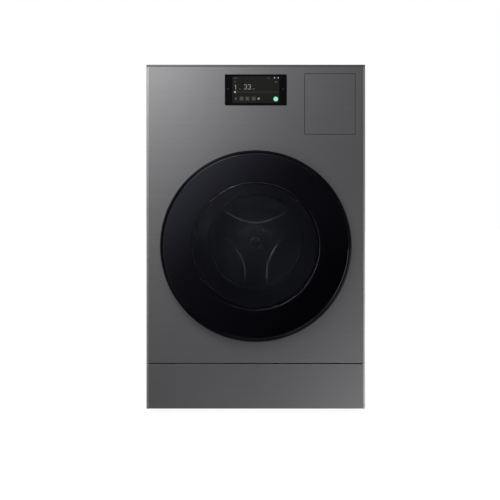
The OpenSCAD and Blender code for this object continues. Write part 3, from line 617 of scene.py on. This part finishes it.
def drum_shell():
    """Rolled sheet with staggered drain holes; there are none at its edges or near the lifters."""
    columns, r = 150, DRUM_R - 0.6 * MM
    lifter_angles, lifter_clear = 120, 9
    y0, y1 = shell_lo.y, shell_hi.y
    margin = 34 * MM
    rows = 22
    pitch = (y1 - y0 - 2 * margin) / rows
    hole = 2.1 * MM
    sides = 8
    vertices, faces, index = [], [], {}

    def point(u, y):
        key = (round(u * 4096) % (columns * 4096), round(y * 1e7))
        if key not in index:
            a = 2 * math.pi * u / columns
            index[key] = len(vertices)
            vertices.append((r * math.cos(a), y, AXIS_Z + r * math.sin(a)))
        return index[key]

    arc_pitch = 2 * math.pi * r / columns
    for c in range(columns):
        faces.append([point(c, y0), point(c + 0.5, y0), point(c + 1, y0),
                      point(c + 1, y0 + margin), point(c + 0.5, y0 + margin),
                      point(c, y0 + margin)])
        faces.append([point(c, y1 - margin), point(c + 0.5, y1 - margin),
                      point(c + 1, y1 - margin), point(c + 1, y1), point(c + 0.5, y1),
                      point(c, y1)])
        for k in range(rows):
            ya, yb = y0 + margin + k * pitch, y0 + margin + (k + 1) * pitch
            corners = [(c, ya), (c + 0.5, ya), (c + 1, ya), (c + 1, (ya + yb) / 2), (c + 1, yb),
                       (c + 0.5, yb), (c, yb), (c, (ya + yb) / 2)]
            outer = [point(*p) for p in corners]
            around = (c * 360 / columns - 90) % lifter_angles
            if (c + k) % 2 or min(around, lifter_angles - around) < lifter_clear:
                faces.append(outer)
                continue
            inner = []
            for j in range(sides):
                a = math.radians(225 + 45 * j)
                inner.append(point(c + 0.5 + hole * math.cos(a) / arc_pitch,
                                   (ya + yb) / 2 + hole * math.sin(a)))
            for j in range(sides):
                n = (j + 1) % sides
                faces.append([outer[j], outer[n], inner[n], inner[j]])
    as_sheet(mesh_piece("drum_shell_sheet", vertices, faces, "drum_steel", "drum",
                        ["drum_shell"]))


def smooth(t):
    """Goes from 0 to 1 without a kink as t goes from 0 to 1."""
    t = max(0.0, min(1.0, t))
    return t * t * (3 - 2 * t)


def drum_wall():
    """Pressed rear wall: three dished fields between the arms, and a step round the hub."""
    outer = wall_hi.x
    face_y = wall_hi.y - 8.5 * MM
    field_depth, rim_depth, boss_height = 6.5 * MM, 2.5 * MM, 4 * MM
    field_at, field_r, fields_within = 250 * MM, 180 * MM, 178 * MM
    rings = 96

    def press(x, z):
        r = math.hypot(x, z)
        inside = -1.0
        for a in (90, 210, 330):
            u, w = field_at * math.cos(math.radians(a)), field_at * math.sin(math.radians(a))
            inside = max(inside, field_r - math.hypot(x - u, z - w))
        inside = min(inside, fields_within - r)
        edge = smooth((inside + 2 * MM) / (10 * MM))
        field = 0.4 * edge + 0.6 * smooth(inside / (58 * MM))
        rim = smooth((r - 262 * MM) / (12 * MM))
        boss = smooth((74 * MM - r) / (38 * MM))
        return field_depth * field + rim_depth * rim - boss_height * boss

    def point(entry, cosine, sine):
        x, z = entry[0] * cosine, entry[0] * sine
        return (x, face_y + press(x, z), AXIS_Z + z)

    radii = [(outer * (i / rings) ** 0.9,) for i in range(rings + 1)]
    vertices, faces = turned(radii, 288, point, closed=False)
    as_sheet(mesh_piece("drum_wall_pressed", vertices, faces, "drum_steel", "drum",
                        ["drum_rear_wall"], sharp=math.radians(60)))


def hub():
    """Domed cap with a groove near its edge."""
    y = cap_hi.y
    profile = [(0, y), (32 * MM, y)]
    profile += arc(28 * MM, y - 1.5 * MM, 4 * MM, 4 * MM, 0, -80, 6)
    profile += [(25 * MM, y - 5.4 * MM), (23.8 * MM, y - 4.9 * MM), (22.6 * MM, y - 5.4 * MM)]
    profile += arc(0, y - 2 * MM, 22 * MM, 7.3 * MM, -20, -90, 10)
    vertices, faces = lathe_mesh(profile, 96, closed=False, centre=CENTRE)
    mesh_piece("hub_cap_domed", vertices, faces, "hub_chrome", "drum", ["hub_cap"])


drum_shell()
drum_wall()
hub()

# ------------------------------------------------------------------ rubber and springs


def gasket():
    """Rubber lip round the drum's mouth, stretched between the front panel and the tub."""
    y, r = FRONT_Y, gasket_hi.x - 22 * MM
    outline = [(-6, 3), (-0.2, 3), (-0.2, 11), (22, 16.5), (22, 28), (2, 33), (0.5, 33), (0.5, 56),
               (-6, 62), (-8, 60), (-3, 55), (-3, 30), (18, 25), (18, 19.5), (-6, 14)]
    points = rounded_corners([(r + a * MM, y + b * MM) for a, b in outline], 2)
    vertices, faces = lathe_mesh(points, 192, centre=CENTRE)
    piece = mesh_piece("door_gasket_rubber", vertices, faces, "rubber", None, ["door_gasket"])
    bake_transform(piece)


def bellows():
    """Corrugated rubber pipe from the tub's sump down to the pump."""
    x = (bellows_lo.x + bellows_hi.x) / 2
    y = (bellows_lo.y + bellows_hi.y) / 2
    low, high = bellows_lo.z, bellows_hi.z
    outer = (bellows_hi.x - bellows_lo.x) / 2
    folds, wall = 5, 2.2 * MM
    line = []
    for i in range(folds * 12 + 1):
        t = i / (folds * 12)
        wave = 0.5 - 0.5 * math.cos(2 * math.pi * folds * t)
        line.append((outer - 8.5 * MM + 8.3 * MM * wave, low + (high - low) * t))
    profile = line + [(r - wall, z) for r, z in line[::-1]]
    vertices, faces = lathe_mesh(profile, 96, axis="Z", centre=(x, y))
    piece = mesh_piece("sump_bellows_rubber", vertices, faces, "rubber", None, ["sump_bellows"])
    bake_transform(piece)


def springs():
    """The two coil springs that carry the tub."""
    low, high = springs_lo.z, springs_hi.z
    y = (springs_lo.y + springs_hi.y) / 2
    coil_r, wire, turns, per_turn, sides = 11 * MM, 1.75 * MM, 16, 24, 8
    inset = 12.8 * MM
    for name, x in (("left", springs_lo.x + inset), ("right", springs_hi.x - inset)):
        vertices, faces = [], []
        steps = turns * per_turn
        for i in range(steps + 1):
            a = 2 * math.pi * i / per_turn
            z = low + wire + (high - low - 2 * wire) * i / steps
            for k in range(sides):
                b = 2 * math.pi * k / sides
                r = coil_r + wire * math.cos(b)
                vertices.append((x + r * math.cos(a), y + r * math.sin(a), z + wire * math.sin(b)))
        for i in range(steps):
            for k in range(sides):
                n = (k + 1) % sides
                faces.append([i * sides + k, i * sides + n, (i + 1) * sides + n,
                              (i + 1) * sides + k])
        faces.append(list(range(sides)))
        faces.append(list(range(steps * sides, steps * sides + sides)))
        piece = mesh_piece("spring_" + name, vertices, faces, "plain_steel", None,
                           ["suspension_springs"])
        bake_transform(piece)


gasket()
bellows()
springs()

# ------------------------------------------------------------------ display

SCREEN_Y = display_lo.y
MID_X = (display_lo.x + display_hi.x) / 2
MID_Z = (display_lo.z + display_hi.z) / 2


def plate(outline, lift):
    """A thin plate on the display: its outline in millimetres from the display's centre."""
    n = len(outline)
    vertices = [(MID_X + u * MM, SCREEN_Y - level, MID_Z + v * MM)
                for level in (-0.1 * MM, lift * MM) for u, v in outline]
    faces = [list(range(n)), list(range(n, 2 * n))]
    faces += [[i, (i + 1) % n, n + (i + 1) % n, n + i] for i in range(n)]
    return vertices, faces


def joined(shapes):
    vertices, faces = [], []
    for v, f in shapes:
        faces += [[i + len(vertices) for i in face] for face in f]
        vertices += v
    return vertices, faces


def bar(u0, v0, u1, v1, width):
    """Outline of a stroke with rounded ends."""
    length = math.hypot(u1 - u0, v1 - v0) or 1e-6
    du, dv = (u1 - u0) / length, (v1 - v0) / length
    points = []
    for (cu, cv), start in (((u1, v1), -90), ((u0, v0), 90)):
        for i in range(7):
            a = math.radians(start + 30 * i)
            c, s = math.cos(a) * width / 2, math.sin(a) * width / 2
            points.append((cu + du * c - dv * s, cv + dv * c + du * s))
    return points


def disc(u, v, r, n=24):
    """Outline of a disc."""
    return [(u + r * math.cos(2 * math.pi * i / n), v + r * math.sin(2 * math.pi * i / n))
            for i in range(n)]


def box(u0, v0, u1, v1, r=1.0):
    """Outline of a rectangle with rounded corners."""
    points = []
    for cu, cv, start in ((u1 - r, v1 - r, 0), (u0 + r, v1 - r, 90), (u0 + r, v0 + r, 180),
                          (u1 - r, v0 + r, 270)):
        points += [(cu + r * math.cos(math.radians(start + 22.5 * i)),
                    cv + r * math.sin(math.radians(start + 22.5 * i))) for i in range(5)]
    return points


def digit_three(u, v, w, h, width):
    """Strokes of a 3: two open bowls, as short straight lengths."""
    points = []
    for cv, start, end in ((v + h * 0.25, 150, -80), (v - h * 0.25, 80, -150)):
        for i in range(11):
            a = math.radians(start + (end - start) * i / 10)
            points.append((u + w / 2 * math.cos(a), cv + h * 0.25 * math.sin(a)))
    return [bar(*points[i], *points[i + 1], width) for i in range(len(points) - 1)]


def display():
    """The lit screen with generic digits, dots, bars and squares on it."""
    v, f = plate(box(-73, -41, 73, 42, 3), 0.05)
    mesh_piece("display_screen", v, f,
               lit("screen_look", (0.0050, 0.0060, 0.0040), 1.0, (0.003, 0.003, 0.003)),
               "cabinet", slot="tinted_glass")
    dots = [disc(58.5, 37.8, 1.9), disc(70, 37.8, 1.9), disc(-65, -6.9, 3.0)]
    digits = [bar(-62.8, 15.2, -62.8, 2.2, 1.8), bar(-62.8, 15.2, -65.4, 13.2, 1.6)]
    digits += digit_three(-32.5, 9.2, 8.4, 15.0, 1.7)
    digits += digit_three(-20.5, 9.2, 8.4, 15.0, 1.7)
    digits.append(disc(9, -27.5, 3.4))
    marks = [bar(u - half, v, u + half, v, width) for u, v, half, width in (
        (-49.5, 2.6, 1.6, 2.2), (-7.5, 2.9, 3.2, 2.0), (-63.5, 36.8, 5.5, 1.5),
        (-65.5, 24.8, 1.8, 2.2), (62.5, 24.8, 2.4, 2.6), (40, 36.8, 4.0, 1.2))]
    marks.append(disc(-62.5, -27.5, 2.8))
    lines = [bar(-58, -6.9, 72, -6.9, 1.2)]
    for u in (-44.5, -26.5, -6.5):
        lines.append(box(u - 6.2, -33.5, u + 6.2, -21.0, 1.6))
        marks.append(bar(u - 1.5, -27.3, u + 1.5, -27.3, 3.2))
    lines += [disc(-87, 3.4, 1.8), disc(85, 3.4, 1.8)]
    start = [disc(62.5, -28.6, 7.2, 40)]
    for label, shapes, lift, look in (
        ("display_dots", dots, 0.16, lit("dots_look", (0.42, 0.46, 0.44), 1.0)),
        ("display_digits", digits, 0.16, lit("digits_look", (0.26, 0.275, 0.265), 1.0)),
        ("display_marks", marks, 0.16, lit("marks_look", (0.085, 0.09, 0.085), 1.0)),
        ("display_lines", lines, 0.11, lit("lines_look", (0.032, 0.037, 0.032), 1.0)),
        ("display_start", start, 0.16, lit("start_look", (0.33, 0.86, 0.58), 1.0)),
    ):
        v, f = joined([plate(shape, lift) for shape in shapes])
        mesh_piece(label, v, f, look, "cabinet", slot="tinted_glass")


display()


def push_mark():
    """A shallow dash in the middle of the flap's top edge, where it is pressed to open."""
    lo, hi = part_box("lower_flap")
    below_edge = 5.5
    outline = bar(-10, 0, 10, 0, 1.8)
    n = len(outline)
    vertices = [((lo.x + hi.x) / 2 + u * grow * MM, lo.y + depth * MM,
                 hi.z + (v * grow - below_edge) * MM)
                for depth, grow in ((0.1, 1.0), (-0.12, 1.0), (-0.12, 0.9), (-0.02, 0.8))
                for u, v in outline]
    faces = [[level * n + i, level * n + (i + 1) % n, (level + 1) * n + (i + 1) % n,
              (level + 1) * n + i] for level in range(3) for i in range(n)]
    faces += [list(range(n)), list(range(3 * n, 4 * n))]
    # The dash's metal is darker than the front's: painted shade of the notch
    mesh_piece("flap_push_mark", vertices, faces,
               brushed("push_mark_shade_look", (0.15, 0.15, 0.155), 0.45), "flap", slot="front_metal")


push_mark()

# ------------------------------------------------------------------ floor and reflection card


def stage_plane(name, corners, look):
    """A flat square of the studio, which isn't part of the object."""
    mesh = bpy.data.meshes.new(name)
    mesh.from_pydata(corners, [], [(0, 1, 2, 3)])
    piece = bpy.data.objects.new(name, mesh)
    scene.collection.objects.link(piece)
    mesh.materials.append(look)
    return piece


FAR = 60
floor = stage_plane(
    "floor", [(-FAR, -FAR, 0), (FAR, -FAR, 0), (FAR, FAR, 0), (-FAR, FAR, 0)],
    grained("floor_look", (0.12, 0.12, 0.12), 0.7, amount=0.01, patch=0.7, grain=60,
            Emission_Color=(1, 1, 1, 1), Emission_Strength=0.9))
floor.visible_glossy = False
floor.visible_shadow = False


DIAGONAL = 0.7071


def card():
    """A studio card behind the camera. Its glow changes along the diagonal from lower right
    to upper left: black, then a soft band that the door's glass reflects, then bright far out."""
    y, half_size, ramp_half = -6.0, 30, 10
    s = Shader("card_look")
    s.set(Base_Color=(0, 0, 0, 1), Roughness=1.0, Specular_IOR_Level=0.0)
    across = s.add("ShaderNodeVectorMath", operation="DOT_PRODUCT")
    s.tree.links.new(s.place, across.inputs[0])
    across.inputs[1].default_value = (-DIAGONAL, 0, DIAGONAL)
    scaled = s.add("ShaderNodeMapRange")
    s.link(across.outputs["Value"], scaled, "Value")
    scaled.inputs["From Min"].default_value = -ramp_half
    scaled.inputs["From Max"].default_value = ramp_half
    ramp = s.add("ShaderNodeValToRGB")
    s.link(scaled.outputs["Result"], ramp, "Fac")
    stops = ((-9, 0.95), (-6, 0.45), (-3.2, 0.0), (-0.5, 0.0), (-0.34, 0.005), (-0.1, 0.035),
             (0.41, 0.07), (0.56, 0.10), (0.71, 0.18), (0.81, 0.25), (0.92, 0.38), (1.02, 0.5),
             (1.25, 0.7), (1.7, 0.75), (2.6, 0.3), (3.5, 0.0), (6, 0.4), (9, 0.95))
    while len(ramp.color_ramp.elements) < len(stops):
        ramp.color_ramp.elements.new(0.5)
    for element, (at, _) in zip(ramp.color_ramp.elements, stops):
        element.position = (at + ramp_half) / (2 * ramp_half)
    for element, (_, glow) in zip(ramp.color_ramp.elements, stops):
        element.color = (glow, glow, glow * 1.03, 1)
    s.link(ramp.outputs["Color"], s.bsdf, "Emission Color")
    s.set(Emission_Strength=1.0)
    piece = stage_plane("card", [(u * half_size, y, w * half_size)
                                 for u, w in ((-1, -1), (1, -1), (1, 1), (-1, 1))], s.material)
    piece.visible_camera = False
    piece.visible_diffuse = False
    piece.visible_shadow = False


card()
